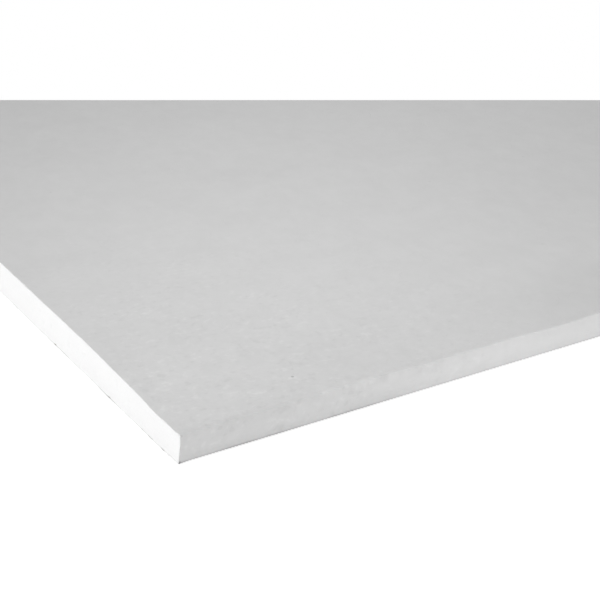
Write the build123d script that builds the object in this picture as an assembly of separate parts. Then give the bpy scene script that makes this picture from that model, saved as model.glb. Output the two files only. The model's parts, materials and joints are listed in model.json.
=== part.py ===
from build123d import *

import os

# Drywall sheet lying face up: a foamed gypsum core, a face paper that wraps both long edges and laps
# under the back, and a flat back paper laid over those laps. Both ends are cut square through all three.
# X runs along the sheet, Y across it and Z up. The origin lies under the sheet's middle, on its back.

# Sheet, in millimetres
SHEET_LENGTH = 2438.4
SHEET_WIDTH = 1219.2
SHEET_THICKNESS = 12.7

# Papers: the lap is how far the face paper reaches in under the back, and the setback is how far the
# back paper stops short of the long edge
FACE_PAPER_THICKNESS = 0.4
BACK_PAPER_THICKNESS = 0.4
FACE_PAPER_LAP = 25.0
BACK_PAPER_SETBACK = 8.0

# Long edges: the face falls away towards them over a soft shoulder, the edge stands upright below its
# face arris and then leans in towards the back. The gypsum's arrises are a little round, and the paper
# is folded over them
TAPER_WIDTH = 62.0
TAPER_DEPTH = 1.8
TAPER_SHOULDER_RADIUS = 500.0
EDGE_UPRIGHT = 4.0
EDGE_UNDERCUT = 1.2
EDGE_KNEE_RADIUS = 15.0
FACE_ARRIS_RADIUS = 0.2
BACK_ARRIS_RADIUS = 0.4


def wrapped_outline():
    """Section across the sheet: round the outside of the face paper, then straight across under its laps."""
    half_width = SHEET_WIDTH / 2
    shoulder = half_width - TAPER_WIDTH
    foot = half_width - EDGE_UNDERCUT
    edge_height = SHEET_THICKNESS - TAPER_DEPTH
    knee_height = edge_height - EDGE_UPRIGHT
    outline = Polygon(
        (-foot, BACK_PAPER_THICKNESS),
        (foot, BACK_PAPER_THICKNESS),
        (half_width, knee_height),
        (half_width, edge_height),
        (shoulder, SHEET_THICKNESS),
        (-shoulder, SHEET_THICKNESS),
        (-half_width, edge_height),
        (-half_width, knee_height),
        align=None,
    )
    shoulders = outline.vertices().group_by(Axis.Y)[-1]
    outline = fillet(shoulders, TAPER_SHOULDER_RADIUS)
    face_arrises = outline.vertices().group_by(Axis.Y)[2]
    outline = fillet(face_arrises, FACE_ARRIS_RADIUS + FACE_PAPER_THICKNESS)
    knees = outline.vertices().group_by(Axis.Y)[1]
    outline = fillet(knees, EDGE_KNEE_RADIUS)
    back_arrises = outline.vertices().group_by(Axis.Y)[0]
    return fillet(back_arrises, BACK_ARRIS_RADIUS + FACE_PAPER_THICKNESS)


def core_section():
    """Section of the gypsum: one paper inside the outline, and down to the back paper between the laps."""
    inside = offset(wrapped_outline(), -FACE_PAPER_THICKNESS)
    between_laps = Pos(0, BACK_PAPER_THICKNESS) * Rectangle(
        SHEET_WIDTH - 2 * FACE_PAPER_LAP,
        2 * FACE_PAPER_THICKNESS,
        align=(Align.CENTER, Align.MIN),
    )
    return inside + between_laps


def face_paper_section():
    """Section of the face paper: all of the outline that the gypsum doesn't fill."""
    return wrapped_outline() - core_section()


def back_paper_section():
    """Section of the back paper: a flat strip that stops short of both long edges."""
    return Rectangle(
        SHEET_WIDTH - 2 * BACK_PAPER_SETBACK,
        BACK_PAPER_THICKNESS,
        align=(Align.CENTER, Align.MIN),
    )


def run_along_sheet(section):
    """Runs a section the length of the sheet, half of it to each side of the middle."""
    return extrude(Plane.YZ * section, SHEET_LENGTH / 2, both=True)


pieces = {
    "gypsum_core": run_along_sheet(core_section()),
    "face_paper": run_along_sheet(face_paper_section()),
    "back_paper": run_along_sheet(back_paper_section()),
}

os.makedirs("parts", exist_ok=True)
for name, piece in pieces.items():
    export_step(piece, f"parts/{name}.step")
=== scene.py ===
import json
import math

import bpy
import numpy as np
from bpy.props import FloatProperty, FloatVectorProperty, PointerProperty
from mathutils import Matrix, Vector, noise


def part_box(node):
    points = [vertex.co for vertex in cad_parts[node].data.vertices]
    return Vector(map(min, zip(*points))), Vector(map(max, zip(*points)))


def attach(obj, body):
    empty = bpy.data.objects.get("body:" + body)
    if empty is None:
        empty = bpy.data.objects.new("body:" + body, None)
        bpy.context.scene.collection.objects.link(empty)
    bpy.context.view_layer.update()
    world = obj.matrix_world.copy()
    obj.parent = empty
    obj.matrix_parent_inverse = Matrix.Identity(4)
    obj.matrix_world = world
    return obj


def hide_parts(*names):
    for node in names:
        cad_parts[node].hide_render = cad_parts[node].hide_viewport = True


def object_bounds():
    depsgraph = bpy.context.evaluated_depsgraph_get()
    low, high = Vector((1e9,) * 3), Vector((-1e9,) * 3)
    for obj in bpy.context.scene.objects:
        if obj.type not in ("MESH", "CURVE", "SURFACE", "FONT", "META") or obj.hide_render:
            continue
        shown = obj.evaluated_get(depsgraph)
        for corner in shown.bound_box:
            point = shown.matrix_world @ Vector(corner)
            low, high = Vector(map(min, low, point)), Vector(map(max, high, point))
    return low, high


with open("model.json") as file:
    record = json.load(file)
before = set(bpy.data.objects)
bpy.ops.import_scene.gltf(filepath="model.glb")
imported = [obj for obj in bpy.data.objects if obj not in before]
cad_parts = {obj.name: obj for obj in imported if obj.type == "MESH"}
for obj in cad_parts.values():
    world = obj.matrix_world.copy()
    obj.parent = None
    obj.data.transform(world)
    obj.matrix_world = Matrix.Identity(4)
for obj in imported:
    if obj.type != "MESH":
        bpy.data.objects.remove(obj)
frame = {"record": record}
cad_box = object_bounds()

bl_info = {
    "name": "Drywall sheet",
    "version": (1, 0, 0),
    "blender": (4, 5, 0),
    "location": "3D View > Sidebar > Drywall",
    "description": "Dresses a drywall sheet in its wrapped face paper, cut gypsum core and back paper",
    "category": "Object",
}

# The sheet as packed, in metres: X along it, Y across it, Z up, with its back on the floor at zero
LOW, HIGH = cad_box
NEAR_CORNER = Vector((LOW.x, LOW.y, 0))
CORE_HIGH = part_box("gypsum_core")[1]
BACK_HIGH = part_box("back_paper")[1]
FACE_PAPER_THICKNESS = HIGH.z - CORE_HIGH.z
BACK_PAPER_THICKNESS = BACK_HIGH.z
SLOT_COLOURS = {finish["slot"]: finish["base_color"] for finish in frame["record"]["materials"]}

# Meshing: the corner in the picture is meshed finely, and runs grow longer with the distance from it
ARC_STEPS = 8
NEAR_REACH = 0.15
GROWTH_SHARE = 0.1
PAPER_SPACING_ALONG = 0.0048
PAPER_SPACING_ACROSS = 0.0024
PAPER_FINEST_RUN = 0.0004
FINE_GROWTH_SHARE = 0.15
PAPER_LONGEST_RUN = 0.045
DENT_FINEST_RUN = 0.0006
CORE_SPACING = 0.0006
CORE_SIDE_SPACING = 0.00015
CORE_LONGEST_RUN = 0.003
CORE_LAYERS = 22
CORE_TUCK = 0.0015
CORE_TUCK_REACH = 0.012
SHARP_ANGLE = math.radians(40)

# Reach of the small bends in the paper, measured from where each is deepest
FOLD_REACH = 0.002
FOLD_RISE_REACH = 0.006
CORNER_SAG_REACH = 0.0025
CORNER_KNOCK_REACH = 0.003
CORNER_WEAR_REACH = 0.0018
DENT_LEFT_REACH = 0.0024
DENT_RIGHT_REACH = 0.0016
DENT_ROUND_REACH = 0.0014
DENT_DROP = 0.0009
END_DENT_ACROSS_REACH = 0.006
END_DENT_ALONG_REACH = 0.005
FRAY_DEPTH_REACH = 0.003

# Noise in the shapes: the sizes of its lumps along X, Y and Z, and a seed
PAPER_WAVE_LUMPS = ((0.06, 0.03, 0.03), 3.7)
FOLD_WOBBLE_LUMPS = ((0.011, 0.05, 0.05), 11.3)
FACE_FRAY_LUMPS = ((0.01, 0.0017, 0.0017), 5.9)
BACK_FRAY_LUMPS = ((0.01, 0.0017, 0.0017), 14.6)
# Patches of the painted contact shadow along the foot of the long edges
SHADE_PATCH_LUMPS = ((0.007, 0.05, 0.05), 21.4)
COARSE_CRUMB_LUMPS = ((0.006, 0.006, 0.006), 2.1)
FINE_CRUMB_LUMPS = ((0.0017, 0.0017, 0.0017), 8.4)
COARSE_CRUMB_SHARE = 0.6
PIT_SPACING = 0.0042
PIT_REACH_SHARE = 0.22

# Height of the face fold as a share of its rise, by the distance from the near corner
FOLD_RISE_SHARES = (
    (0, 0),
    (0.04, 0.2),
    (0.055, 1),
    (0.066, 1),
    (0.085, -1),
    (0.126, -1),
    (0.138, -2.8),
    (0.144, -3),
    (0.158, -1),
    (0.2, -1),
    (0.4, 0),
)

# Painted shade on the paper: broken patches of painted contact shadow along the foot of the long edges, by
# the distance from the near end, and a faint painted shadow on those edges near that end
FOOT_SHADE_REACH = 0.0006
FOOT_SHADE_SHARES = (
    (0, 0.7),
    (0.005, 0.55),
    (0.012, 0.75),
    (0.02, 1),
    (0.036, 1),
    (0.042, 0.65),
    (0.049, 0.65),
    (0.055, 1.4),
    (0.071, 1.3),
    (0.077, 0.25),
    (0.3, 0.2),
)
FAINTEST_SHADE_SHARE = 0.1
DEEPEST_SHADE_SHARE = 1.7
CORNER_SHADE_DEPTH = 0.003
CORNER_SHADE_REACH = 0.06
CORNER_SHADE_SHARE = 0.12

# Patterns in the finishes: the usual run of noise, its middle and its detail, a whole run, and a run to
# both sides of nothing
NOISE_RUN_SHARES = (0.3, 0.7)
NOISE_MIDDLE_SHARE = 0.5
NOISE_DETAIL = 2.0
WHOLE_RUN_SHARES = (0.0, 1.0)
SIGNED_RUN_SHARES = (-1.0, 1.0)

# Gloss, fibres and flecks in the finishes
SPECULAR_SHARE = 0.2
FIBRE_WIDTH_SHARE = 0.035
FIBRE_DETAIL = 0.5
FIBRE_BREAK_SHARES = (0.54, 0.6)
FIBRE_BREAK_SEED = 30
FLECK_CHOICE_SHARE = 0.01

# Face paper: noise as lump sizes, seed and detail, fibres as lump sizes and seed, and flecks as cell
# sizes, seed, reach in a cell and share of the cells. The scuffs fade away from the handled corner
FACE_LUMPS = {
    "drift": ((0.6, 0.4, 0.4), 1.3),
    "streaks": ((1.5, 0.02, 0.02), 6.6),
    "clouds": ((0.024, 0.018, 0.018), 4.1),
    "bloom": ((0.0055, 0.0075, 0.0075), 15.8, 1.0),
    "patches": ((0.012, 0.012, 0.012), 9.4),
    "mottle": ((0.0034, 0.0038, 0.0038), 7.7),
    "spots": ((0.0023, 0.0019, 0.0019), 5.3, 0.9),
    "grain": ((0.0011, 0.0011, 0.0011), 2.9),
}
PALE_FIBRES = ((0.0052, 0.0034, 0.0034), 12.5)
DARK_FIBRES = ((0.0045, 0.0036, 0.0036), 17.2)
FACE_FLECKS = ((0.012, 0.012, 0.012), 3.3, 0.06, 0.25)
FACE_CLOUD_SHARES = {
    "drift": (0.988, 1.012),
    "streaks": (0.996, 1.004),
    "clouds": (0.99, 1.01),
    "bloom": (0.989, 1.011),
}
FACE_SCUFF_SHARES = {
    "shading": (0.985, 1.015),
    "scuffs": (0.946, 1.054),
    "nap": (0.992, 1.008),
}
FACE_SPOT_SHARES = {
    "pale fibres": (1.0, 1.012),
    "dark fibres": (1.0, 0.988),
    "flecks": (1.0, 0.9),
    # Painted shade along the foot and near the near end darkens the paper down to this share
    "soil": (1.0, 0.56),
}
PATCH_SHARES = (0.2, 1.4)
HANDLED_SHARES = (1.1, 0.14)
HANDLED_REACHES = (0.03, 0.16)
FACE_ROUGHNESS_SHARES = (0.84, 0.93)
RAISED_FIBRE_SHARES = (0.0, 1.5)
SUNK_FIBRE_SHARES = (0.0, -1.5)
FACE_BUMP = 0.00003

# Marks on the face paper, measured from the near corner: place, reach and tone of each. Many are painted
# light and shade, as noted below
FACE_MARKS = (
    ((0.0462, 0.0132, 0.0113), 0.0006, 0.68),
    ((0.0450, 0.0127, 0.0113), 0.0009, 1.09),
    ((0.0137, 0.0, 0.0093), 0.0009, 0.96),
    ((0.0211, 0.0, 0.0078), 0.0007, 1.04),
    ((0.0346, 0.0, 0.0027), 0.0014, 0.94),
    # Painted highlights along the face fold
    ((0.0409, 0.0, 0.0091), 0.0010, 1.03),
    ((0.0494, 0.0, 0.0108), 0.0007, 1.09),
    ((0.0577, 0.0, 0.0107), 0.0011, 1.05),
    ((0.0610, 0.0, 0.0106), 0.0019, 1.035),
    ((0.0640, 0.0, 0.0106), 0.0019, 1.035),
    ((0.0670, 0.0, 0.0105), 0.0019, 1.035),
    # Painted shade in the fold dent, then a painted highlight beside it
    ((0.0713, 0.0, 0.0098), 0.0022, 0.955),
    ((0.0749, 0.0, 0.0093), 0.0024, 1.03),
    # A painted pool of light on the face near the corner, then a broad darker patch on the long edge further
    # along
    ((0.0160, 0.0200, 0.0115), 0.0340, 1.025),
    ((0.1680, 0.0, 0.0060), 0.0400, 0.965),
    # Painted shade under the frayed paper at the top of the corner, and painted shadow in the gap under its
    # foot
    ((0.0010, 0.0003, 0.0102), 0.0005, 0.86),
    ((0.0, 0.0008, 0.0006), 0.0013, 0.5),
)

# Cut papers: gypsum dust over torn fibres, with painted contact shadow in marks along the foot of the near
# end
CUT_LUMPS = {
    "dust": ((0.02, 0.007, 0.007), 5.2),
    "torn": ((0.0005, 0.0009, 0.0003), 1.7),
}
DUST_RUN_SHARES = (0.32, 0.48)
BARE_FACE_CUT_SHARE = 0.93
BARE_BACK_CUT_SHARE = 0.95
TORN_SHARES = (0.97, 1.02)
CUT_ROUGHNESS_SHARES = (0.88, 0.97)
CUT_BUMP = 0.00004
CUT_MARKS = (
    # Painted contact shadow along the foot of the near end
    ((0.0, 0.0117, 0.0002), 0.0013, 0.8),
    ((0.0, 0.0183, 0.0002), 0.0012, 0.85),
    ((0.0, 0.0495, 0.0), 0.0100, 0.7),
    ((0.0, 0.1100, 0.0), 0.0200, 0.94),
)

# Cut gypsum
GYPSUM_LUMPS = {
    "stains": ((0.03, 0.03, 0.01), 2.2),
    "grain": ((0.0006, 0.0006, 0.0006), 9.1),
}
GYPSUM_PORES = ((0.0014, 0.0014, 0.0014), 4.8, 0.3, 0.35)
GYPSUM_CLOUD_SHARES = {
    "stains": (0.99, 1.005),
    "grain": (0.985, 1.01),
}
PORE_SHARES = (1.0, 0.965)
SUNK_PORE_SHARES = (0.0, -2.0)
GYPSUM_ROUGHNESS_SHARES = (0.9, 0.98)
GYPSUM_BUMP = 0.00002

# Back paper
BACK_LUMPS = {
    "drift": ((0.4, 0.2, 0.2), 8.8),
    "mottle": ((0.012, 0.006, 0.006), 1.9),
    "strands": ((0.004, 0.0009, 0.0009), 6.3),
}
BACK_FLECKS = {
    "dark": ((0.005, 0.003, 0.003), 2.4, 0.12, 0.4),
    "light": ((0.006, 0.003, 0.003), 7.2, 0.12, 0.35),
}
BACK_CLOUD_SHARES = {
    "drift": (0.97, 1.03),
    "mottle": (0.95, 1.05),
    "strands": (0.92, 1.08),
}
BACK_FLECK_SHARES = {
    "dark": (1.0, 0.72),
    "light": (1.0, 1.25),
}
BACK_ROUGHNESS_SHARES = (0.86, 0.96)
BACK_BUMP = 0.00006

# Stage: softboxes as place and aim from the near corner, width and height
FLOOR_SIZE = 14.0
FLOOR_DROP = 0.00005
FLOOR_SHADE_SHARE = 0.6
FLOOR_GLOW_SHARE = 0.8
SEEN_RAYS = ("Is Camera Ray", "Is Glossy Ray", "Is Transmission Ray")
SOFTBOXES = {
    "overhead": ((1.2, 0.6, 3.0), (1.2, 0.6, 0), 2.4, 1.6),
    "corner": ((0.05, 0.05, 0.2), (0.05, 0.05, 0), 0.14, 0.14),
    "face": ((0.15, 0.18, 0.2), (0.15, 0.18, 0), 0.14, 0.14),
    "end": ((-0.75, 0.11, 0.06), (0, 0.1, 0.005), 0.65, 0.1),
    "edge": ((0.42, -0.43, 0.035), (0.25, 0, 0.005), 0.3, 0.06),
    "bounce": ((0.32, -0.099, 0.0003), (0.32, -0.099, 1), 0.8, 0.2),
    "far_bounce": ((0.17, -0.099, 0.0003), (0.17, -0.099, 1), 0.18, 0.2),
}


# Settings that a user can change


class DrywallSizes(bpy.types.PropertyGroup):
    """Section of the sheet across its width."""

    taper_width: FloatProperty(
        name="Taper width",
        description="How far in from each long edge the face starts to fall away",
        default=0.062,
        subtype="DISTANCE",
        unit="LENGTH",
    )
    taper_depth: FloatProperty(
        name="Taper depth",
        description="How far the face has fallen at the long edge",
        default=0.0018,
        subtype="DISTANCE",
        unit="LENGTH",
    )
    shoulder_radius: FloatProperty(
        name="Shoulder radius",
        description="Radius on which the flat face turns into the taper",
        default=0.5,
        subtype="DISTANCE",
        unit="LENGTH",
    )
    edge_upright: FloatProperty(
        name="Edge upright",
        description="Height of the upright part of the long edge, below the face",
        default=0.004,
        subtype="DISTANCE",
        unit="LENGTH",
    )
    edge_undercut: FloatProperty(
        name="Edge undercut",
        description="How far the foot of the long edge lies in from its upright part",
        default=0.0012,
        subtype="DISTANCE",
        unit="LENGTH",
    )
    knee_radius: FloatProperty(
        name="Knee radius",
        description="Radius between the upright part of the long edge and the part that leans in",
        default=0.015,
        subtype="DISTANCE",
        unit="LENGTH",
    )
    face_fold_radius: FloatProperty(
        name="Face fold radius",
        description="Radius on which the paper turns from the face down the long edge",
        default=0.0006,
        subtype="DISTANCE",
        unit="LENGTH",
    )
    back_fold_radius: FloatProperty(
        name="Back fold radius",
        description="Radius on which the paper turns from the long edge in under the back",
        default=0.0008,
        subtype="DISTANCE",
        unit="LENGTH",
    )
    lap: FloatProperty(
        name="Paper lap",
        description="How far the face paper reaches in under the back",
        default=0.025,
        subtype="DISTANCE",
        unit="LENGTH",
    )


class DrywallWear(bpy.types.PropertyGroup):
    """Small bends, dents and ragged cuts."""

    paper_wave: FloatProperty(
        name="Paper wave",
        description="Depth of the shallow waves in the face paper",
        default=0.00008,
        subtype="DISTANCE",
        unit="LENGTH",
    )
    fold_wobble: FloatProperty(
        name="Fold wobble",
        description="Depth by which the face fold wanders along the long edge",
        default=0.00018,
        subtype="DISTANCE",
        unit="LENGTH",
    )
    fold_rise: FloatProperty(
        name="Fold rise",
        description="Height by which the face fold rises before its dent and sinks behind it",
        default=0.00025,
        subtype="DISTANCE",
        unit="LENGTH",
    )
    fold_dent: FloatProperty(
        name="Fold dent",
        description="Depth of the dent knocked into the long edge below the face fold",
        default=0.0002,
        subtype="DISTANCE",
        unit="LENGTH",
    )
    fold_dent_place: FloatProperty(
        name="Fold dent place",
        description="Distance of the dent from the near corner",
        default=0.0714,
        subtype="DISTANCE",
        unit="LENGTH",
    )
    corner_sag: FloatProperty(
        name="Corner sag",
        description="Depth by which the paper's foot hangs down at the near corner",
        default=0.00025,
        subtype="DISTANCE",
        unit="LENGTH",
    )
    corner_knock: FloatProperty(
        name="Corner knock",
        description="Depth by which the top of the near corner is knocked down",
        default=0.0002,
        subtype="DISTANCE",
        unit="LENGTH",
    )
    end_dent: FloatProperty(
        name="End dent",
        description="Depth of the dent pressed into the face at the cut end",
        default=0.0005,
        subtype="DISTANCE",
        unit="LENGTH",
    )
    end_dent_place: FloatProperty(
        name="End dent place",
        description="Distance of that dent from the near corner",
        default=0.0155,
        subtype="DISTANCE",
        unit="LENGTH",
    )
    paper_fray: FloatProperty(
        name="Paper fray",
        description="Depth of the ragged line where the papers are cut",
        default=0.00022,
        subtype="DISTANCE",
        unit="LENGTH",
    )
    corner_fray: FloatProperty(
        name="Corner fray",
        description="How far the cut is worn back at the top of the near corner",
        default=0.00045,
        subtype="DISTANCE",
        unit="LENGTH",
    )
    core_crumble: FloatProperty(
        name="Core crumble",
        description="Depth of the crumbled relief on the cut gypsum",
        default=0.0002,
        subtype="DISTANCE",
        unit="LENGTH",
    )
    core_pits: FloatProperty(
        name="Core pits",
        description="Depth of the air bubbles that the cut has opened",
        default=0.0003,
        subtype="DISTANCE",
        unit="LENGTH",
    )


class DrywallFinish(bpy.types.PropertyGroup):
    """Colours of the papers and the gypsum."""

    face_paper: FloatVectorProperty(
        name="Face paper",
        description="Grey of the face paper",
        default=SLOT_COLOURS["face_paper"],
        subtype="COLOR",
        size=3,
    )
    paper_cut: FloatVectorProperty(
        name="Paper cut",
        description="Pale fibres and gypsum dust on a cut paper edge",
        default=(0.88, 0.88, 0.88),
        subtype="COLOR",
        size=3,
    )
    gypsum: FloatVectorProperty(
        name="Gypsum",
        description="White of the cut core",
        default=SLOT_COLOURS["gypsum"],
        subtype="COLOR",
        size=3,
    )
    back_paper: FloatVectorProperty(
        name="Back paper",
        description="Grey-brown of the back paper",
        default=SLOT_COLOURS["back_paper"],
        subtype="COLOR",
        size=3,
    )


class DrywallStage(bpy.types.PropertyGroup):
    """Floor, light and camera."""

    floor_colour: FloatVectorProperty(
        name="Floor",
        description="Pale colour of the floor",
        default=(0.9, 0.9, 0.9),
        subtype="COLOR",
        size=3,
    )
    sky_strength: FloatProperty(
        name="Sky strength",
        description="Strength of the even light from all round",
        default=0.625,
    )
    overhead_power: FloatProperty(
        name="Overhead light",
        description="Power of the large light over the whole sheet",
        default=9.0,
        unit="POWER",
    )
    corner_power: FloatProperty(
        name="Corner light",
        description="Power of the small light over the near corner",
        default=0.1,
        unit="POWER",
    )
    face_power: FloatProperty(
        name="Face light",
        description="Power of the small light over the face behind the near corner",
        default=0.039,
        unit="POWER",
    )
    end_power: FloatProperty(
        name="End light",
        description="Power of the light on the cut end",
        default=2.33,
        unit="POWER",
    )
    edge_power: FloatProperty(
        name="Edge light",
        description="Power of the light on the long edge",
        default=0.97,
        unit="POWER",
    )
    bounce_power: FloatProperty(
        name="Bounce panel",
        description="Power of the light thrown up by the floor in front of the long edge",
        default=0.062,
        unit="POWER",
    )
    far_bounce_power: FloatProperty(
        name="Far bounce panel",
        description="Power of the light thrown up by the floor away from the near corner",
        default=0.008,
        unit="POWER",
    )
    camera_place: FloatVectorProperty(
        name="Camera place",
        description="Camera measured from the near corner of the sheet, on the floor",
        default=(-0.18541, -0.37567, 0.25539),
        subtype="TRANSLATION",
        unit="LENGTH",
        size=3,
    )
    camera_turn: FloatProperty(
        name="Camera turn",
        description="How far the view turns from across the sheet to along it",
        default=math.radians(31.07),
        subtype="ANGLE",
        unit="ROTATION",
    )
    camera_tilt: FloatProperty(
        name="Camera tilt",
        description="How far the view tilts down",
        default=math.radians(25.709),
        subtype="ANGLE",
        unit="ROTATION",
    )
    camera_lens: FloatProperty(
        name="Camera lens",
        description="Focal length in millimetres",
        default=100.0,
        unit="CAMERA",
    )
    camera_reach: FloatProperty(
        name="Camera reach",
        description="Distance at which the camera stops seeing the sheet, as the picture's top edge cuts it",
        default=0.7452,
        subtype="DISTANCE",
        unit="LENGTH",
    )


# Lines and grids


def rounded_line(corners):
    """Points of a line through (across, up, radius) corners, each turned on an arc of its radius."""
    places = [Vector(corner[:2]) for corner in corners]
    points = [places[0]]
    for before, place, after, corner in zip(places, places[1:], places[2:], corners[1:]):
        arriving = (place - before).normalized()
        leaving = (after - place).normalized()
        turn = math.atan2(arriving.cross(leaving), arriving.dot(leaving))
        radius = corner[2]
        inward = Vector((-arriving.y, arriving.x)) * math.copysign(radius, turn)
        centre = place - arriving * radius * math.tan(abs(turn) / 2) + inward
        for step in range(ARC_STEPS + 1):
            points.append(centre - Matrix.Rotation(turn * step / ARC_STEPS, 2) @ inward)
    points.append(places[-1])
    return np.array(points)


def halved_run(start, end, longest):
    """Points after start up to end, halved until no run is longer than its place allows."""
    middle = (start + end) / 2
    if np.linalg.norm(end - start) <= longest(middle):
        return [end]
    return halved_run(start, middle, longest) + halved_run(middle, end, longest)


def halved_line(points, longest):
    """A line with every run halved until it is no longer than its place allows."""
    line = [points[0]]
    for start, end in zip(points, points[1:]):
        line += halved_run(start, end, longest)
    return np.array(line)


def noise_at(places, sizes, seed):
    """Smooth noise from nothing to one at every place, in lumps of these sizes along X, Y and Z."""
    scaled = places.reshape(-1, 3) / np.array(sizes) + seed
    values = [noise.noise(place) for place in scaled.tolist()]
    return (1 + np.array(values).reshape(places.shape[:-1])) / 2


def swell(distance, reach):
    """One at no distance, falling off smoothly to nothing beyond the reach."""
    return np.exp(-np.square(distance / reach))


def grid_faces(index):
    """Four-sided faces through a grid of point numbers."""
    corners = (index[:-1, :-1], index[1:, :-1], index[1:, 1:], index[:-1, 1:])
    return np.stack(corners, axis=-1).reshape(-1, 4)


def grid_border(index):
    """Point numbers round the border of a grid, in one closed round."""
    return np.concatenate((index[0, :-1], index[:-1, -1], index[-1, :0:-1], index[:0:-1, 0]))


def band_faces(first, second):
    """Four-sided faces between two closed rounds of point numbers."""
    corners = (first, np.roll(first, -1), np.roll(second, -1), second)
    return np.stack(corners, axis=-1)


def new_object(name, data):
    """An object of this mesh, light or camera, put in the scene."""
    thing = bpy.data.objects.new(name, data)
    bpy.context.scene.collection.objects.link(thing)
    return thing


def new_piece(name, places, faces, materials, material_numbers):
    """A smooth mesh object with sharp cut edges, riding on the sheet's one body."""
    mesh = bpy.data.meshes.new(name)
    mesh.from_pydata(places.tolist(), [], faces.tolist())
    for material in materials:
        mesh.materials.append(material)
    mesh.polygons.foreach_set("material_index", material_numbers)
    mesh.shade_smooth()
    mesh.set_sharp_from_angle(angle=SHARP_ANGLE)
    piece = new_object(name, mesh)
    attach(piece, "root")
    return piece


def thick_sheet(name, top, under, materials):
    """A closed sheet between two grids, with the second material on its cut edges."""
    index = np.arange(top[..., 0].size).reshape(top.shape[:2])
    under_index = index + index.size
    faces = (
        grid_faces(index),
        grid_faces(under_index)[:, ::-1],
        band_faces(grid_border(index), grid_border(under_index)),
    )
    places = np.concatenate((top.reshape(-1, 3), under.reshape(-1, 3)))
    material_numbers = np.repeat((0, 0, 1), [len(part) for part in faces])
    return new_piece(name, places, np.concatenate(faces), materials, material_numbers)


# The papers' shapes


def fold_height(sizes):
    """Height of the face fold on the long edges."""
    return HIGH.z - sizes.taper_depth


def wrapped_line(sizes):
    """Outside of the face paper across the sheet, from the near lap over the face to the far lap."""
    edge_height = fold_height(sizes)
    half_side = [
        (HIGH.y - sizes.lap, BACK_PAPER_THICKNESS, 0),
        (HIGH.y - sizes.edge_undercut, BACK_PAPER_THICKNESS, sizes.back_fold_radius),
        (HIGH.y, edge_height - sizes.edge_upright, sizes.knee_radius),
        (HIGH.y, edge_height, sizes.face_fold_radius),
        (HIGH.y - sizes.taper_width, HIGH.z, sizes.shoulder_radius),
    ]
    near_side = [(-across, up, radius) for across, up, radius in half_side]
    return rounded_line(near_side + half_side[::-1])


def paper_run(spacing, from_corner):
    """Longest run of the paper's mesh at a distance from the near corner."""
    grown = spacing + GROWTH_SHARE * max(0, from_corner - NEAR_REACH)
    return min(grown, PAPER_LONGEST_RUN)


def paper_stations(wear):
    """Places along the sheet where the paper's mesh has points, closest at the cut ends and the dent."""

    def longest(place):
        from_start = place[0] - LOW.x
        from_end = min(from_start, HIGH.x - place[0])
        from_dent = abs(from_start - wear.fold_dent_place)
        return min(
            paper_run(PAPER_SPACING_ALONG, from_start),
            PAPER_FINEST_RUN + FINE_GROWTH_SHARE * from_end,
            DENT_FINEST_RUN + FINE_GROWTH_SHARE * max(0, from_dent - DENT_LEFT_REACH),
        )

    ends = np.array([[LOW.x], [HIGH.x]])
    return halved_line(ends, longest)[:, 0]


def frayed(wear, places, ragged_lumps):
    """How far each point moves along X where the paper's ends are cut ragged."""
    from_end = np.minimum(places[..., 0] - LOW.x, HIGH.x - places[..., 0])
    fray = wear.paper_fray * noise_at(places, *ragged_lumps) * swell(from_end, FRAY_DEPTH_REACH)
    return -np.sign(places[..., 0]) * fray


def corner_wear(wear, places, arris_height):
    """How far the near corner's upright is worn back at each point, most at its top."""
    from_start = places[..., 0] - LOW.x
    from_edge = places[..., 1] - LOW.y
    height_share = np.clip(places[..., 2] / arris_height, 0, 1)
    worn = swell(from_edge, CORNER_WEAR_REACH) * swell(from_start, FRAY_DEPTH_REACH)
    return wear.corner_fray * np.square(height_share) * worn


def edge_dent(wear, places, arris_height):
    """How far the long edge is knocked in at each point, just below the face fold."""
    from_dent = places[..., 0] - LOW.x - wear.fold_dent_place
    from_edge = places[..., 1] - LOW.y
    along = swell(from_dent, np.where(from_dent < 0, DENT_LEFT_REACH, DENT_RIGHT_REACH))
    around = swell(np.hypot(from_edge, places[..., 2] - arris_height + DENT_DROP), DENT_ROUND_REACH)
    return wear.fold_dent * along * around


def paper_lift(wear, places, arris_height):
    """How far each point rises with the fold, and sinks at the near corner and the dented end."""
    from_start = places[..., 0] - LOW.x
    from_edge = places[..., 1] - LOW.y
    from_fold = np.hypot(from_edge, places[..., 2] - arris_height)
    from_foot = np.hypot(from_edge, places[..., 2] - BACK_PAPER_THICKNESS)
    rise_along, rise_shares = zip(*FOLD_RISE_SHARES)
    rise = wear.fold_rise * np.interp(from_start, rise_along, rise_shares)
    sag = wear.corner_sag * swell(np.hypot(from_foot, from_start), CORNER_SAG_REACH)
    knock = wear.corner_knock * swell(np.hypot(from_fold, from_start), CORNER_KNOCK_REACH)
    dent = wear.end_dent * swell(from_edge - wear.end_dent_place, END_DENT_ACROSS_REACH)
    dent *= swell(from_start, END_DENT_ALONG_REACH) * (places[..., 2] > arris_height)
    return rise * swell(from_fold, FOLD_RISE_REACH) - sag - knock - dent


def paper_bends(wear, places, outward, arris_height):
    """How far each point of the face paper moves by its waves, dents and ragged ends."""
    across = np.minimum(places[..., 1] - LOW.y, HIGH.y - places[..., 1])
    at_fold = swell(np.hypot(across, places[..., 2] - arris_height), FOLD_REACH)
    inward = wear.paper_wave * noise_at(places, *PAPER_WAVE_LUMPS)
    inward += wear.fold_wobble * at_fold * noise_at(places, *FOLD_WOBBLE_LUMPS)
    bends = -outward * inward[..., None]
    bends[..., 0] += frayed(wear, places, FACE_FRAY_LUMPS) + corner_wear(wear, places, arris_height)
    bends[..., 1] += edge_dent(wear, places, arris_height)
    bends[..., 2] += paper_lift(wear, places, arris_height)
    return bends


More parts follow.
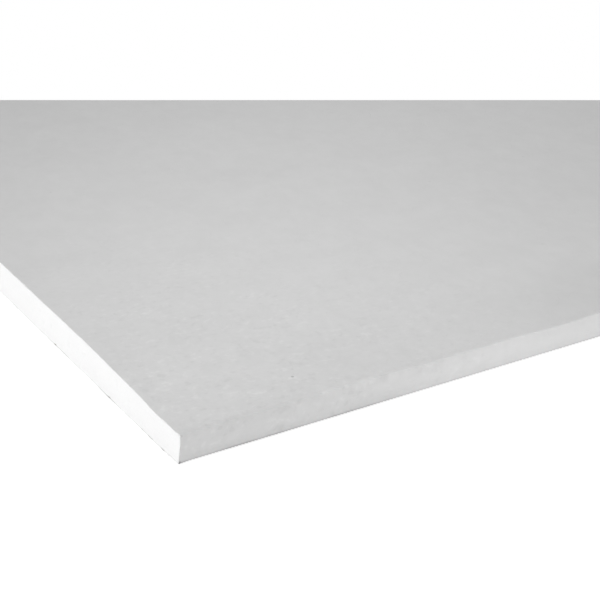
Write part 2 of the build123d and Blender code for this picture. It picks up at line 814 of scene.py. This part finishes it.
def painted_paper_shade(places, sizes):
    """How much painted shade each point of the face paper takes: painted contact shadow along its foot, and
    a faint painted shadow a little towards the near end.
    """
    from_start = places[..., 0] - LOW.x
    across = np.minimum(places[..., 1] - LOW.y, HIGH.y - places[..., 1])
    from_foot = np.hypot(across - sizes.edge_undercut, places[..., 2] - BACK_PAPER_THICKNESS)
    shade_along, shade_shares = zip(*FOOT_SHADE_SHARES)
    patches = noise_at(places, *SHADE_PATCH_LUMPS)
    foot = FAINTEST_SHADE_SHARE + (DEEPEST_SHADE_SHARE - FAINTEST_SHADE_SHARE) * patches
    foot *= swell(from_foot, FOOT_SHADE_REACH) * np.interp(from_start, shade_along, shade_shares)
    on_edge = (places[..., 2] < fold_height(sizes)) * swell(across, CORNER_SHADE_DEPTH)
    cast = CORNER_SHADE_SHARE * on_edge * swell(from_start, CORNER_SHADE_REACH)
    return np.clip(foot + cast, 0, 1)


def wrapped_paper(sizes, wear):
    """Outside and inside of the face paper, as grids of places along and round the sheet."""
    arris_height = fold_height(sizes)

    def longest(place):
        from_edge = place[0] - LOW.y
        from_fold = math.hypot(from_edge, place[1] - arris_height)
        from_foot = math.hypot(from_edge, place[1] - BACK_PAPER_THICKNESS)
        return min(
            paper_run(PAPER_SPACING_ACROSS, from_edge),
            PAPER_FINEST_RUN + FINE_GROWTH_SHARE * min(from_fold, from_foot),
        )

    line = halved_line(wrapped_line(sizes), longest)
    way = np.gradient(line, axis=0)
    way /= np.linalg.norm(way, axis=1, keepdims=True)
    stations = paper_stations(wear)
    outside = np.empty((len(stations), len(line), 3))
    outside[..., 0] = stations[:, None]
    outside[..., 1:] = line
    outward = np.zeros_like(outside)
    outward[..., 1] = -way[:, 1]
    outward[..., 2] = way[:, 0]
    inside = outside - outward * FACE_PAPER_THICKNESS
    bends = paper_bends(wear, outside, outward, arris_height)
    return outside + bends, inside + bends


def flat_paper(wear):
    """Top and underside of the back paper, as grids of places along and across the sheet."""
    edges = np.array([[-BACK_HIGH.y], [BACK_HIGH.y]])
    columns = halved_line(edges, lambda place: paper_run(PAPER_SPACING_ACROSS, place[0] - LOW.y))[:, 0]
    stations = paper_stations(wear)
    top = np.empty((len(stations), len(columns), 3))
    top[..., 0] = stations[:, None]
    top[..., 1] = columns
    top[..., 2] = BACK_PAPER_THICKNESS
    top[..., 0] += frayed(wear, top, BACK_FRAY_LUMPS)
    under = top.copy()
    under[..., 2] = 0
    return top, under


# The core's shape


def core_columns(side):
    """Places across the sheet where the core's ends have points, closest at the sides."""

    def longest(place):
        from_side = side - abs(place[0])
        grown = CORE_SPACING + GROWTH_SHARE * max(0, place[0] - LOW.y - NEAR_REACH)
        return min(grown, CORE_SIDE_SPACING + GROWTH_SHARE * from_side, CORE_LONGEST_RUN)

    return halved_line(np.array([[-side], [side]]), longest)[:, 0]


def core_heights(paper_inside, columns):
    """Heights of the core's end in layers, filling the inside of the paper from the back paper up."""
    near = np.argmin(paper_inside[:, 1])
    far = np.argmax(paper_inside[:, 1])
    top = paper_inside[near : far + 1]
    near_lap = paper_inside[: near + 1][::-1]
    far_lap = paper_inside[far:][::-1]
    lap_ends = [near_lap[-1, 1], far_lap[0, 1]]
    foot_across = np.concatenate((near_lap[:, 1], lap_ends, far_lap[:, 1]))
    foot_up = np.concatenate((near_lap[:, 2], [BACK_PAPER_THICKNESS] * 2, far_lap[:, 2]))
    lowest = np.interp(columns, foot_across, foot_up)
    highest = np.interp(columns, top[:, 1], top[:, 2])
    layers = np.linspace(0, 1, CORE_LAYERS + 1)
    return lowest[:, None] + (highest - lowest)[:, None] * layers


def crumbled(wear, places):
    """How deep the cut gypsum is crumbled and pitted at each place of an end."""
    coarse = COARSE_CRUMB_SHARE * noise_at(places, *COARSE_CRUMB_LUMPS)
    fine = (1 - COARSE_CRUMB_SHARE) * noise_at(places, *FINE_CRUMB_LUMPS)
    cells = (places.reshape(-1, 3) / PIT_SPACING).tolist()
    nearest = np.array([noise.voronoi(cell)[0][0] for cell in cells]).reshape(places.shape[:-1])
    pits = np.clip(1 - np.square(nearest / PIT_REACH_SHARE), 0, 1)
    return wear.core_crumble * (coarse + fine) + wear.core_pits * pits


def core_end(wear, arris_height, paper_inside, end_x):
    """Places over one cut end of the core, crumbled inward and worn back at the near corner."""
    columns = core_columns(HIGH.y - FACE_PAPER_THICKNESS)
    end = np.empty((len(columns), CORE_LAYERS + 1, 3))
    end[..., 0] = end_x
    end[..., 1] = columns[:, None]
    end[..., 2] = core_heights(paper_inside, columns)
    worn = corner_wear(wear, end, arris_height)
    end[..., 0] += worn - math.copysign(1, end_x) * crumbled(wear, end)
    return end


def tucked_ring(border_places):
    """The border of a cut end, moved in along the sheet and drawn in under the paper."""
    ring = border_places.copy()
    middle_height = CORE_HIGH.z / 2
    ring[:, 0] -= np.sign(ring[:, 0]) * CORE_TUCK_REACH
    ring[:, 1] *= 1 - CORE_TUCK / HIGH.y
    ring[:, 2] = middle_height + (ring[:, 2] - middle_height) * (1 - CORE_TUCK / middle_height)
    return ring


def core_mesh(sizes, wear):
    """Places and faces of the core: two cut ends, with straight sides tucked in under the paper."""
    inside = wrapped_paper(sizes, wear)[1]
    arris_height = fold_height(sizes)
    near_end = core_end(wear, arris_height, inside[0], LOW.x)
    far_end = core_end(wear, arris_height, inside[-1], HIGH.x)
    index = np.arange(near_end[..., 0].size).reshape(near_end.shape[:2])
    border = grid_border(index)
    ends = [near_end.reshape(-1, 3), far_end.reshape(-1, 3)]
    rings = [tucked_ring(end[border]) for end in ends]
    near_ring = np.arange(len(border)) + 2 * index.size
    far_ring = near_ring + len(border)
    faces = (
        grid_faces(index)[:, ::-1],
        grid_faces(index + index.size),
        band_faces(border, near_ring),
        band_faces(near_ring, far_ring),
        band_faces(far_ring, border + index.size),
    )
    return np.concatenate(ends + rings), np.concatenate(faces)


# Node helpers


def empty_tree(owner):
    """The node tree of a material or a world, with nothing in it."""
    owner.use_nodes = True
    owner.node_tree.nodes.clear()
    return owner.node_tree


def add_node(tree, kind, inputs, **settings):
    """Adds a node with these settings, and sets or links its inputs by name."""
    node = tree.nodes.new(kind)
    for name, value in settings.items():
        setattr(node, name, value)
    for name, value in inputs.items():
        if isinstance(value, bpy.types.NodeSocket):
            tree.links.new(value, node.inputs[name])
        else:
            node.inputs[name].default_value = value
    return node


def scaled_place(tree, sizes, seed):
    """Place on the sheet, counted in lumps of these sizes along X, Y and Z."""
    place = add_node(tree, "ShaderNodeTexCoord", {}).outputs["Object"]
    scale = [1 / size for size in sizes]
    inputs = {"Vector": place, "Location": (seed, seed, seed), "Scale": scale}
    return add_node(tree, "ShaderNodeMapping", inputs).outputs["Vector"]


def lumps(tree, sizes, seed, detail=NOISE_DETAIL):
    """Smooth noise about one half, in lumps of these sizes."""
    inputs = {"Vector": scaled_place(tree, sizes, seed), "Scale": 1.0, "Detail": detail}
    return add_node(tree, "ShaderNodeTexNoise", inputs).outputs[0]


def lump_fields(tree, table):
    """Smooth noise for each named row of a table of lump sizes, seeds and details."""
    return {name: lumps(tree, *row) for name, row in table.items()}


def mapped(tree, pattern, span, run=NOISE_RUN_SHARES):
    """A pattern's run, mapped on to another span and kept inside it."""
    inputs = {
        "Value": pattern,
        "From Min": run[0],
        "From Max": run[1],
        "To Min": span[0],
        "To Max": span[1],
    }
    return add_node(tree, "ShaderNodeMapRange", inputs).outputs["Result"]


def together(tree, operation, patterns):
    """All the patterns combined by one operation."""
    result = patterns[0]
    for pattern in patterns[1:]:
        node = add_node(tree, "ShaderNodeMath", {}, operation=operation)
        tree.links.new(result, node.inputs[0])
        tree.links.new(pattern, node.inputs[1])
        result = node.outputs[0]
    return result


def flecks(tree, sizes, seed, reach, share):
    """One on small flecks, on this share of the cells of these sizes, and nothing between them."""
    inputs = {"Vector": scaled_place(tree, sizes, seed), "Scale": 1.0}
    cells = add_node(tree, "ShaderNodeTexVoronoi", inputs)
    spots = mapped(tree, cells.outputs["Distance"], (1.0, 0.0), (0.0, reach))
    draw = add_node(tree, "ShaderNodeSeparateColor", {"Color": cells.outputs["Color"]}).outputs["Red"]
    chosen = mapped(tree, draw, (1.0, 0.0), (share, share + FLECK_CHOICE_SHARE))
    return together(tree, "MULTIPLY", [spots, chosen])


def fibres(tree, sizes, seed):
    """One along thin wandering lines in noise of these sizes, broken into short lengths."""
    wander = lumps(tree, sizes, seed, FIBRE_DETAIL)
    middle = add_node(tree, "ShaderNodeMath", {0: wander, 1: NOISE_MIDDLE_SHARE}, operation="SUBTRACT")
    aside = add_node(tree, "ShaderNodeMath", {0: middle.outputs[0]}, operation="ABSOLUTE")
    lines = mapped(tree, aside.outputs[0], (1.0, 0.0), (0.0, FIBRE_WIDTH_SHARE))
    breaks = lumps(tree, sizes, seed + FIBRE_BREAK_SEED)
    lengths = mapped(tree, breaks, WHOLE_RUN_SHARES, FIBRE_BREAK_SHARES)
    return together(tree, "MULTIPLY", [lines, lengths])


def distance_from(tree, place):
    """Distance from a place that is measured from the near corner."""
    here = add_node(tree, "ShaderNodeTexCoord", {}).outputs["Object"]
    inputs = {0: here, 1: NEAR_CORNER + Vector(place)}
    return add_node(tree, "ShaderNodeVectorMath", inputs, operation="DISTANCE").outputs["Value"]


def marks(tree, table):
    """A tone on each small spot of a table of places, reaches and tones, and one elsewhere."""
    return [
        mapped(tree, distance_from(tree, place), (tone, 1.0), (reach / 2, reach))
        for place, reach, tone in table
    ]


def tones(tree, patterns, tone_shares, run=NOISE_RUN_SHARES):
    """The named patterns, each mapped on to its span of tones."""
    return [mapped(tree, patterns[name], span, run) for name, span in tone_shares.items()]


def toned(tree, colour, all_tones):
    """A colour times all the tones."""
    tone = together(tree, "MULTIPLY", all_tones)
    node = add_node(tree, "ShaderNodeVectorMath", {"Scale": tone}, operation="SCALE")
    node.inputs[0].default_value = colour
    return node.outputs[0]


def new_material(name):
    """A material with an empty node tree, its shader and its output."""
    material = bpy.data.materials.new(name)
    tree = empty_tree(material)
    shader = add_node(tree, "ShaderNodeBsdfPrincipled", {"Specular IOR Level": SPECULAR_SHARE})
    add_node(tree, "ShaderNodeOutputMaterial", {"Surface": shader.outputs[0]})
    return material, tree, shader


def finish_shader(tree, shader, colour, roughness, height, bump):
    """Links a shader's colour, roughness and fine relief."""
    relief = add_node(tree, "ShaderNodeBump", {"Height": height, "Strength": 1.0, "Distance": bump})
    tree.links.new(colour, shader.inputs["Base Color"])
    tree.links.new(roughness, shader.inputs["Roughness"])
    tree.links.new(relief.outputs[0], shader.inputs["Normal"])


# Materials


def face_scuffs(tree, fields):
    """Shading, scuffs and nap of the face paper, to both sides of nothing and fading from the corner."""
    handled = mapped(tree, distance_from(tree, (0, 0, 0)), HANDLED_SHARES, HANDLED_REACHES)
    patches = mapped(tree, fields["patches"], PATCH_SHARES)
    mottle = mapped(tree, fields["mottle"], SIGNED_RUN_SHARES)
    spots = mapped(tree, fields["spots"], SIGNED_RUN_SHARES)
    grain = mapped(tree, fields["grain"], SIGNED_RUN_SHARES)
    return {
        "shading": together(tree, "MULTIPLY", [mottle, handled]),
        "scuffs": together(tree, "MULTIPLY", [spots, spots, spots, patches, handled]),
        "nap": together(tree, "MULTIPLY", [grain, handled]),
    }


def face_paper_material(finish):
    """Smooth grey paper: faint clouds, streaks, fibres and flecks, more scuffed near the handled corner,
    with painted shade along the foot and painted highlights and shade in its marks.
    """
    material, tree, shader = new_material("grey face paper")
    fields = lump_fields(tree, FACE_LUMPS)
    spots = {
        "pale fibres": fibres(tree, *PALE_FIBRES),
        "dark fibres": fibres(tree, *DARK_FIBRES),
        "flecks": flecks(tree, *FACE_FLECKS),
        # Painted shade along the foot and near the near end, read from the points
        "soil": add_node(tree, "ShaderNodeAttribute", {}, attribute_name="soil").outputs["Fac"],
    }
    all_tones = tones(tree, fields, FACE_CLOUD_SHARES)
    all_tones += tones(tree, face_scuffs(tree, fields), FACE_SCUFF_SHARES, SIGNED_RUN_SHARES)
    all_tones += tones(tree, spots, FACE_SPOT_SHARES, WHOLE_RUN_SHARES)
    all_tones += marks(tree, FACE_MARKS)
    roughness = mapped(tree, fields["mottle"], FACE_ROUGHNESS_SHARES)
    raised = mapped(tree, spots["pale fibres"], RAISED_FIBRE_SHARES, WHOLE_RUN_SHARES)
    sunk = mapped(tree, spots["dark fibres"], SUNK_FIBRE_SHARES, WHOLE_RUN_SHARES)
    height = together(tree, "ADD", [fields["grain"], fields["mottle"], raised, sunk])
    colour = toned(tree, finish.face_paper, all_tones)
    finish_shader(tree, shader, colour, roughness, height, FACE_BUMP)
    return material


def paper_cut_material(name, finish, bare_share):
    """Torn pale fibres under gypsum dust, with the bare paper showing here and there, and painted contact
    shadow along the foot of the near end.
    """
    material, tree, shader = new_material(name)
    fields = lump_fields(tree, CUT_LUMPS)
    all_tones = [
        mapped(tree, fields["dust"], (bare_share, 1.0), DUST_RUN_SHARES),
        mapped(tree, fields["torn"], TORN_SHARES),
    ]
    all_tones += marks(tree, CUT_MARKS)
    roughness = mapped(tree, fields["dust"], CUT_ROUGHNESS_SHARES)
    colour = toned(tree, finish.paper_cut, all_tones)
    finish_shader(tree, shader, colour, roughness, fields["torn"], CUT_BUMP)
    return material


def gypsum_material(finish):
    """White foamed gypsum: fine grain, faint stains and small open pores."""
    material, tree, shader = new_material("cut gypsum")
    fields = lump_fields(tree, GYPSUM_LUMPS)
    pores = flecks(tree, *GYPSUM_PORES)
    all_tones = tones(tree, fields, GYPSUM_CLOUD_SHARES)
    all_tones.append(mapped(tree, pores, PORE_SHARES, WHOLE_RUN_SHARES))
    roughness = mapped(tree, fields["grain"], GYPSUM_ROUGHNESS_SHARES)
    sunk_pores = mapped(tree, pores, SUNK_PORE_SHARES, WHOLE_RUN_SHARES)
    height = together(tree, "ADD", [fields["grain"], sunk_pores])
    colour = toned(tree, finish.gypsum, all_tones)
    finish_shader(tree, shader, colour, roughness, height, GYPSUM_BUMP)
    return material


def back_paper_material(finish):
    """Coarse recycled paper: strong mottle, long fibres and dark and pale flecks."""
    material, tree, shader = new_material("recycled back paper")
    fields = lump_fields(tree, BACK_LUMPS)
    spots = {name: flecks(tree, *fleck) for name, fleck in BACK_FLECKS.items()}
    all_tones = tones(tree, fields, BACK_CLOUD_SHARES)
    all_tones += tones(tree, spots, BACK_FLECK_SHARES, WHOLE_RUN_SHARES)
    roughness = mapped(tree, fields["mottle"], BACK_ROUGHNESS_SHARES)
    height = together(tree, "ADD", [fields["strands"], fields["mottle"]])
    colour = toned(tree, finish.back_paper, all_tones)
    finish_shader(tree, shader, colour, roughness, height, BACK_BUMP)
    return material


# Operators for the pieces


class DRYWALL_OT_face_paper(bpy.types.Operator):
    """Makes the face paper that wraps both long edges."""

    bl_idname = "drywall.face_paper"
    bl_label = "Face paper"

    def execute(self, context):
        sizes = context.scene.drywall_sizes
        finish = context.scene.drywall_finish
        outside, inside = wrapped_paper(sizes, context.scene.drywall_wear)
        face_material = face_paper_material(finish)
        cut_material = paper_cut_material("cut face paper", finish, BARE_FACE_CUT_SHARE)
        piece = thick_sheet("wrapped_face_paper", outside, inside, (face_material, cut_material))
        # Painted shade along the foot of the long edges and near the near end, kept on the points
        soil = np.tile(painted_paper_shade(outside, sizes).ravel(), 2)
        piece.data.attributes.new("soil", "FLOAT", "POINT").data.foreach_set("value", soil)
        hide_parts("face_paper")
        return {"FINISHED"}


class DRYWALL_OT_gypsum_core(bpy.types.Operator):
    """Makes the gypsum core with its crumbled cut ends."""

    bl_idname = "drywall.gypsum_core"
    bl_label = "Gypsum core"

    def execute(self, context):
        scene = context.scene
        places, faces = core_mesh(scene.drywall_sizes, scene.drywall_wear)
        materials = (gypsum_material(scene.drywall_finish),)
        piece = new_piece("cut_gypsum_core", places, faces, materials, np.zeros(len(faces), dtype=int))
        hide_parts("gypsum_core")
        return {"FINISHED"}


class DRYWALL_OT_back_paper(bpy.types.Operator):
    """Makes the flat back paper over the laps of the face paper."""

    bl_idname = "drywall.back_paper"
    bl_label = "Back paper"

    def execute(self, context):
        finish = context.scene.drywall_finish
        top, under = flat_paper(context.scene.drywall_wear)
        back_material = back_paper_material(finish)
        cut_material = paper_cut_material("cut back paper", finish, BARE_BACK_CUT_SHARE)
        piece = thick_sheet("laid_back_paper", top, under, (back_material, cut_material))
        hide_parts("back_paper")
        return {"FINISHED"}


# Stage


def seen_rays(tree):
    """One for the rays by which the camera sees a surface, directly or in gloss or glass."""
    rays = add_node(tree, "ShaderNodeLightPath", {})
    return together(tree, "MAXIMUM", [rays.outputs[name] for name in SEEN_RAYS])


def floor_material(stage):
    """Pale floor that the camera sees as white, with the sheet's shadow on it."""
    material = bpy.data.materials.new("pale floor")
    tree = empty_tree(material)
    seen = seen_rays(tree)
    plain = add_node(tree, "ShaderNodeBsdfDiffuse", {"Color": (*stage.floor_colour, 1)})
    shade_colour = (FLOOR_SHADE_SHARE, FLOOR_SHADE_SHARE, FLOOR_SHADE_SHARE, 1)
    shadowed = add_node(tree, "ShaderNodeBsdfDiffuse", {"Color": shade_colour})
    glow = add_node(tree, "ShaderNodeEmission", {"Strength": FLOOR_GLOW_SHARE})
    bright = add_node(tree, "ShaderNodeAddShader", {0: shadowed.outputs[0], 1: glow.outputs[0]})
    mix = add_node(tree, "ShaderNodeMixShader", {0: seen, 1: plain.outputs[0], 2: bright.outputs[0]})
    add_node(tree, "ShaderNodeOutputMaterial", {"Surface": mix.outputs[0]})
    return material


def lay_floor(stage):
    """A plain floor just under the sheet's back."""
    half = FLOOR_SIZE / 2
    mesh = bpy.data.meshes.new("floor")
    corners = [(-half, -half, 0), (half, -half, 0), (half, half, 0), (-half, half, 0)]
    mesh.from_pydata(corners, [], [(0, 1, 2, 3)])
    mesh.materials.append(floor_material(stage))
    floor = new_object("floor", mesh)
    floor.location.z = -FLOOR_DROP


def light_sky(stage):
    """Even light from all round, seen as white."""
    world = bpy.data.worlds.new("studio")
    tree = empty_tree(world)
    strength = mapped(tree, seen_rays(tree), (stage.sky_strength, 1.0), WHOLE_RUN_SHARES)
    sky = add_node(tree, "ShaderNodeBackground", {"Color": (1, 1, 1, 1), "Strength": strength})
    add_node(tree, "ShaderNodeOutputWorld", {"Surface": sky.outputs[0]})
    bpy.context.scene.world = world


def hang_softbox(name, power, place, aim, width, height):
    """A soft area light at a place from the near corner, aimed at another."""
    light = bpy.data.lights.new(name, "AREA")
    light.shape = "RECTANGLE"
    light.size = width
    light.size_y = height
    light.energy = power
    lamp = new_object(name, light)
    lamp.visible_camera = False
    lamp.location = NEAR_CORNER + Vector(place)
    lamp.rotation_euler = (Vector(aim) - Vector(place)).to_track_quat("-Z", "Y").to_euler()


def set_camera(stage):
    """The camera at the picture's angle on the near corner."""
    camera = new_object("camera", bpy.data.cameras.new("camera"))
    camera.data.lens = stage.camera_lens
    camera.data.clip_end = stage.camera_reach
    camera.location = NEAR_CORNER + Vector(stage.camera_place)
    camera.rotation_euler = (math.pi / 2 - stage.camera_tilt, 0, -stage.camera_turn)
    bpy.context.scene.camera = camera


class DRYWALL_OT_stage(bpy.types.Operator):
    """Lays the floor, hangs the lights and sets the camera."""

    bl_idname = "drywall.stage"
    bl_label = "Stage"

    def execute(self, context):
        stage = context.scene.drywall_stage
        context.scene.view_settings.view_transform = "Standard"
        lay_floor(stage)
        light_sky(stage)
        for name, softbox in SOFTBOXES.items():
            hang_softbox(name, getattr(stage, name + "_power"), *softbox)
        set_camera(stage)
        return {"FINISHED"}


# Panel and registering


class DRYWALL_PT_panel(bpy.types.Panel):
    """Lists the sheet's pieces, their sizes and colours."""

    bl_idname = "DRYWALL_PT_panel"
    bl_label = "Drywall sheet"
    bl_space_type = "VIEW_3D"
    bl_region_type = "UI"
    bl_category = "Drywall"

    def draw(self, context):
        for operator in OPERATORS:
            self.layout.operator(operator.bl_idname)
        for name, group in GROUPS.items():
            box = self.layout.box()
            for setting in group.__annotations__:
                box.prop(getattr(context.scene, name), setting)


GROUPS = {
    "drywall_sizes": DrywallSizes,
    "drywall_wear": DrywallWear,
    "drywall_finish": DrywallFinish,
    "drywall_stage": DrywallStage,
}
OPERATORS = (
    DRYWALL_OT_face_paper,
    DRYWALL_OT_gypsum_core,
    DRYWALL_OT_back_paper,
    DRYWALL_OT_stage,
)


def register():
    """Registers the classes and gives every scene their settings."""
    for group in GROUPS.values():
        bpy.utils.register_class(group)
    for operator in OPERATORS:
        bpy.utils.register_class(operator)
    bpy.utils.register_class(DRYWALL_PT_panel)
    for name, group in GROUPS.items():
        setattr(bpy.types.Scene, name, PointerProperty(type=group))


def unregister():
    """Takes the settings and the classes away again."""
    for name in GROUPS:
        delattr(bpy.types.Scene, name)
    bpy.utils.unregister_class(DRYWALL_PT_panel)
    for operator in reversed(OPERATORS):
        bpy.utils.unregister_class(operator)
    for group in reversed(GROUPS.values()):
        bpy.utils.unregister_class(group)


def main():
    """Makes the pieces and the stage in order."""
    register()
    bpy.ops.drywall.face_paper()
    bpy.ops.drywall.gypsum_core()
    bpy.ops.drywall.back_paper()
    bpy.ops.drywall.stage()


if __name__ == "__main__":
    main()
